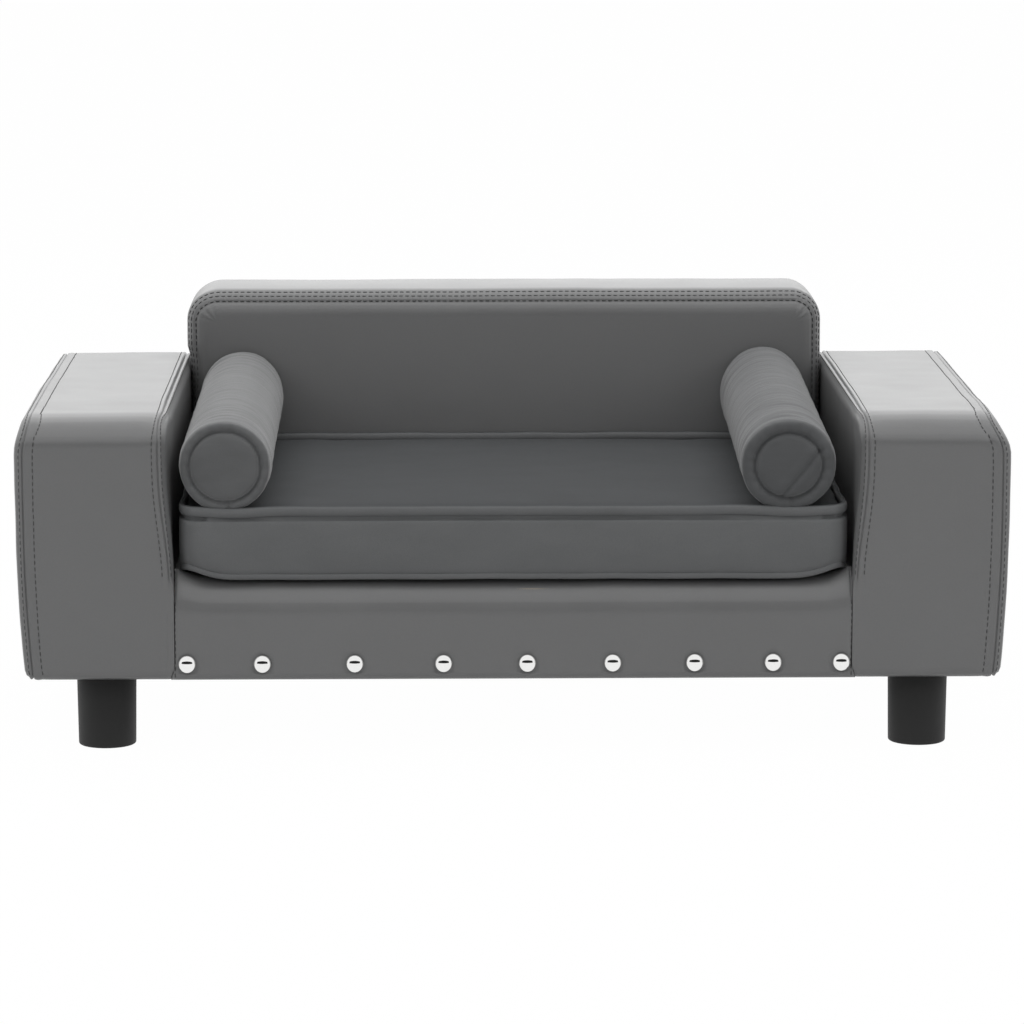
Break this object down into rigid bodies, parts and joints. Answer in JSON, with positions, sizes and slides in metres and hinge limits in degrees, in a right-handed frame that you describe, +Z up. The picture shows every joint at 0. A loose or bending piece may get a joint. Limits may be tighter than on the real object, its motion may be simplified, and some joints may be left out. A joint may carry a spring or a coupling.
{
  "type": "dog sofa",
  "caption": "Small grey faux-leather dog sofa with block arms, a low padded back, a loose plush seat cushion, plush bolsters, chrome dome nails and round black feet.",
  "frame": {"origin": "on the floor under the middle of the sofa, at the bottom centre of its box", "axes": "+X across the sofa to the right arm as seen from the front, +Y from the front to the backrest, +Z up"},
  "size_m": [0.81, 0.43, 0.34],
  "materials": {
    "leather": "smooth grey faux leather with a soft gloss, double topstitched seams",
    "plush": "short-pile dark grey plush",
    "board": "bare board, sealed inside the upholstery",
    "foam": "soft foam, sealed inside the covers",
    "fibre": "white fibre fill",
    "lining": "thin black non-woven lining",
    "black_plastic": "satin black moulded plastic",
    "nail_chrome": "polished",
    "zinc_steel": "zinc plated",
    "zip_tape": "woven tape with a nylon coil",
    "zip_metal": "dark plated zinc"
  },
  "bodies": {
    "sofa": {"arm_left_bottom_board": "board", "arm_left_end_boards": "board", "arm_left_foam": "foam", "arm_left_inner_board": "board", "arm_left_inner_cover": "leather", "arm_left_outer_board": "board", "arm_left_outer_cover": "leather", "arm_left_top_board": "board", "arm_left_wrap_cover": "leather", "arm_right_bottom_board": "board", "arm_right_end_boards": "board", "arm_right_foam": "foam", "arm_right_inner_board": "board", "arm_right_inner_cover": "leather", "arm_right_outer_board": "board", "arm_right_outer_cover": "leather", "arm_right_top_board": "board", "arm_right_wrap_cover": "leather", "back_bottom_rail": "board", "back_boxing_cover": "leather", "back_foam": "foam", "back_front_cover": "leather", "back_panel": "board", "back_rear_cover": "leather", "back_rear_panel": "board", "back_stiles": "board", "back_top_rail": "board", "base_cover": "leather", "base_foam": "foam", "corner_blocks": "board", "deck_board": "board", "deck_slats": "board", "dome_nails": "nail_chrome", "dust_cover": "lining", "foot_front_left": "black_plastic", "foot_front_right": "black_plastic", "foot_rear_left": "black_plastic", "foot_rear_right": "black_plastic", "foot_studs": "zinc_steel", "foot_tee_nuts": "zinc_steel", "frame_bolts": "zinc_steel", "frame_tee_nuts": "zinc_steel", "frame_washers": "zinc_steel", "front_rail": "board", "rear_rail": "board", "side_rails": "board"},
    "seat_cushion": {"cushion_band": "plush", "cushion_bottom_panel": "plush", "cushion_foam": "foam", "cushion_top_panel": "plush", "cushion_welts": "plush", "cushion_zip": "zip_tape"},
    "bolster_left": {"bolster_left_end_discs": "plush", "bolster_left_fill": "fibre", "bolster_left_tube": "plush"},
    "bolster_right": {"bolster_right_end_discs": "plush", "bolster_right_fill": "fibre", "bolster_right_tube": "plush"},
    "zip_runner": {"zip_slider": "zip_metal", "zip_pull": "zip_metal"}
  },
  "joints": [
    {"name": "cushion_lift", "type": "slide", "parent": "sofa", "child": "seat_cushion", "axis": [0, 0, 1], "range_m": [0, 0.22]},
    {"name": "bolster_left_lift", "type": "slide", "parent": "seat_cushion", "child": "bolster_left", "axis": [0, 0, 1], "range_m": [0, 0.16]},
    {"name": "bolster_right_lift", "type": "slide", "parent": "seat_cushion", "child": "bolster_right", "axis": [0, 0, 1], "range_m": [0, 0.16]},
    {"name": "zip_slide", "type": "slide", "parent": "seat_cushion", "child": "zip_runner", "axis": [1, 0, 0], "range_m": [0, 0.45]}
  ]
}
